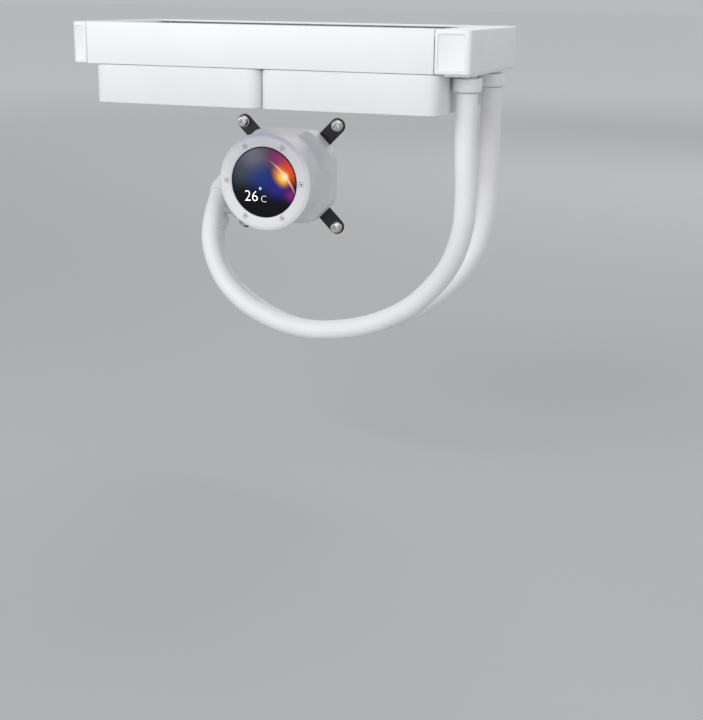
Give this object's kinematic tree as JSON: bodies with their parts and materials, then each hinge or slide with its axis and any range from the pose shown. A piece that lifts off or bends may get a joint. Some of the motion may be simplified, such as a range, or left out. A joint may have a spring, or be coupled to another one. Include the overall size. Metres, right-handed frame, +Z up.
{
  "type": "closed-loop liquid cooler with radiator",
  "caption": "White closed-loop liquid cooler: slim radiator with fans under it, two sleeved hoses and a round pump head with a display.",
  "frame": {"origin": "centre of the radiator's top face, which is bolted under the roof of a computer case", "axes": "+X along the radiator towards the hose ports, +Y away from the front side plate and towards the motherboard, +Z up towards the case roof"},
  "size_m": [0.2765, 0.173, 0.2286],
  "materials": {
    "white_paint": "satin white powder coat",
    "white_plastic": "fine moulded white",
    "white_fitting": "smooth white",
    "white_sleeve": "fine white braid over rubber",
    "milky_plastic": "translucent milky white, lit from the hub",
    "bare_aluminium": "brazed",
    "steel": "nickel plated",
    "black_steel": "black oxide",
    "copper": "machined copper",
    "bronze": "sintered bronze",
    "black_rubber": "matt",
    "black_plastic": "moulded black",
    "circuit_board": "solder mask",
    "display_glass": "polished black glass over a lit picture"
  },
  "bodies": {
    "cooler_body": {"radiator_core": "bare_aluminium", "left_tank": "white_paint", "right_tank": "white_paint", "left_header": "bare_aluminium", "right_header": "bare_aluminium", "front_side_plate": "white_paint", "rear_side_plate": "white_paint", "tank_divider": "bare_aluminium", "fill_plug": "steel", "front_hose_collar": "white_fitting", "rear_hose_collar": "white_fitting", "front_hose": "white_sleeve", "rear_hose": "white_sleeve", "fan_left_frame": "white_plastic", "fan_left_bearing": "bronze", "fan_left_stator": "black_steel", "fan_left_led_board": "circuit_board", "fan_left_screw_1": "black_steel", "fan_left_screw_2": "black_steel", "fan_left_screw_3": "black_steel", "fan_left_screw_4": "black_steel", "fan_right_frame": "white_plastic", "fan_right_bearing": "bronze", "fan_right_stator": "black_steel", "fan_right_led_board": "circuit_board", "fan_right_screw_1": "black_steel", "fan_right_screw_2": "black_steel", "fan_right_screw_3": "black_steel", "fan_right_screw_4": "black_steel", "pump_housing": "white_plastic", "pump_face_ring": "white_plastic", "display_glass": "display_glass", "display_panel": "black_plastic", "control_board": "circuit_board", "pump_stator": "black_steel", "impeller_shaft": "steel", "impeller_cover": "black_plastic", "plate_seal": "black_rubber", "cold_plate": "copper", "mounting_bracket": "black_steel", "ring_screw_1": "steel", "ring_screw_2": "steel", "ring_screw_3": "steel", "ring_screw_4": "steel", "ring_screw_5": "steel", "ring_screw_6": "steel", "bracket_screw_1": "steel", "bracket_screw_2": "steel", "bracket_screw_3": "steel", "bracket_screw_4": "steel"},
    "fan_left_wheel": {"fan_left_rotor": "milky_plastic", "fan_left_shaft": "steel"},
    "fan_right_wheel": {"fan_right_rotor": "milky_plastic", "fan_right_shaft": "steel"},
    "pump_wheel": {"pump_impeller": "black_plastic"},
    "upper_swivel": {"upper_elbow": "white_fitting", "upper_elbow_collar": "white_fitting"},
    "lower_swivel": {"lower_elbow": "white_fitting", "lower_elbow_collar": "white_fitting"}
  },
  "joints": [
    {"name": "fan_left_spin", "type": "hinge", "parent": "cooler_body", "child": "fan_left_wheel", "pos_m": [-0.06, 0, -0.0273], "axis": [0, 0, 1], "continuous": true},
    {"name": "fan_right_spin", "type": "hinge", "parent": "cooler_body", "child": "fan_right_wheel", "pos_m": [0.06, 0, -0.0273], "axis": [0, 0, 1], "continuous": true},
    {"name": "pump_spin", "type": "hinge", "parent": "cooler_body", "child": "pump_wheel", "pos_m": [-0.045, 0.095, -0.116], "axis": [0, -1, 0], "continuous": true},
    {"name": "upper_swivel_turn", "type": "hinge", "parent": "cooler_body", "child": "upper_swivel", "pos_m": [-0.0941, 0.09, -0.12], "axis": [-1, 0, 0], "range_deg": [-5, 14], "deforming": ["front_hose"]},
    {"name": "lower_swivel_turn", "type": "hinge", "parent": "cooler_body", "child": "lower_swivel", "pos_m": [-0.0995, 0.09, -0.142], "axis": [-1, 0, 0], "range_deg": [-8, 10], "deforming": ["rear_hose"]}
  ]
}
